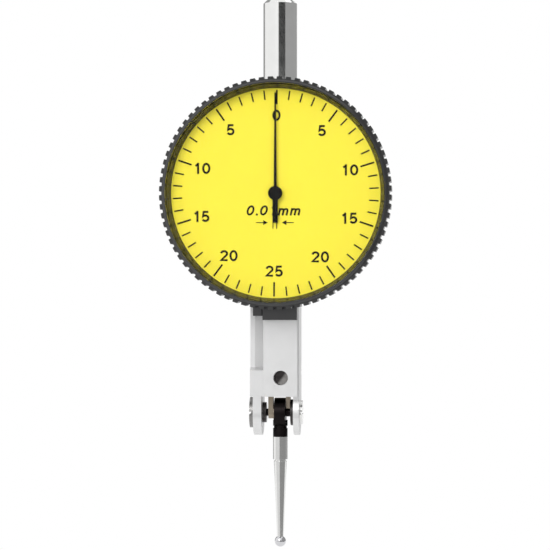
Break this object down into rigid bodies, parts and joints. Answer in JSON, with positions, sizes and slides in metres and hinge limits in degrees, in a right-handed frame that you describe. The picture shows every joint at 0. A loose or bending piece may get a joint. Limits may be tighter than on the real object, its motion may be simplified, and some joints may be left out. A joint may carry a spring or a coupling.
{
  "type": "dial test indicator",
  "caption": "Lever-type dial test indicator with a knurled bezel, balanced yellow dial, dovetailed body, clamped round stem and swivelling ball-tipped stylus.",
  "frame": {"origin": "on the stem's axis, at the shoulder where the stem meets its clamp", "axes": "+Z along the stem towards its free end, -Y is the way the dial looks, +X to the reader's right"},
  "size_m": [0.04, 0.0204, 0.097],
  "materials": {
    "bright_steel": "polished steel",
    "satin_steel": "satin chromed steel",
    "black_steel": "blackened steel",
    "hard_metal": "polished carbide",
    "lever_brass": "dull bronze",
    "wheel_brass": "turned brass",
    "spring_bronze": "rolled spring bronze",
    "black_bezel": "semi-gloss black",
    "black_case": "black enamel",
    "yellow_dial": "matt yellow enamel with black graduations",
    "black_pointer": "matt black",
    "clear_crystal": "clear polished"
  },
  "bodies": {
    "frame": {"stem": "bright_steel", "clamp_jaw": "bright_steel", "clamp_screw": "black_steel", "body_frame": "satin_steel", "side_plate": "satin_steel", "side_plate_screws": "bright_steel", "limit_screw": "satin_steel", "pivot_screw_left": "black_steel", "pivot_screw_right": "bright_steel", "pivot_bush_left": "black_steel", "pivot_bush_right": "black_steel", "stop_pins": "bright_steel", "arbor_bearing_left": "wheel_brass", "arbor_bearing_right": "wheel_brass", "centre_bush": "wheel_brass", "hairspring": "spring_bronze", "hairspring_stud": "wheel_brass", "bezel_spring": "bright_steel", "dial_case": "black_case", "case_screws": "bright_steel"},
    "bezel": {"bezel_ring": "black_bezel", "crystal": "clear_crystal", "dial_plate": "yellow_dial", "dial_clip": "bright_steel"},
    "lever": {"lever_arbor": "black_steel", "sector_lever": "lever_brass", "friction_washer": "lever_brass"},
    "stylus_set": {"stylus_holder": "black_steel", "stylus": "bright_steel", "contact_ball": "hard_metal"},
    "face_wheel": {"arbor_pinion": "bright_steel", "crown_wheel": "wheel_brass"},
    "pointer_set": {"pointer": "black_pointer", "centre_pinion": "bright_steel", "hairspring_collet": "wheel_brass"}
  },
  "joints": [
    {"name": "bezel_turn", "type": "hinge", "parent": "frame", "child": "bezel", "pos_m": [0, 0, -0.0175], "axis": [0, 1, 0], "continuous": true},
    {"name": "lever_swing", "type": "hinge", "parent": "frame", "child": "lever", "pos_m": [0, 0, -0.0559], "axis": [1, 0, 0], "range_deg": [-0.7, 0.7], "stiffness_Nm_per_rad": 0.62},
    {"name": "stylus_swivel", "type": "hinge", "parent": "lever", "child": "stylus_set", "pos_m": [0, 0, -0.0559], "axis": [1, 0, 0], "range_deg": [-105, 105]},
    {"name": "wheel_turn", "type": "hinge", "parent": "frame", "child": "face_wheel", "pos_m": [0, 0, -0.0175], "axis": [1, 0, 0], "range_deg": [-21.8, 21.8]},
    {"name": "pointer_turn", "type": "hinge", "parent": "frame", "child": "pointer_set", "pos_m": [0, 0, -0.0175], "axis": [0, 1, 0], "range_deg": [-201, 201], "deforming": ["hairspring"]}
  ],
  "couplings": [
    {"joint": "wheel_turn", "follows": "lever_swing", "ratio": -31},
    {"joint": "pointer_turn", "follows": "lever_swing", "ratio": -286.75}
  ]
}
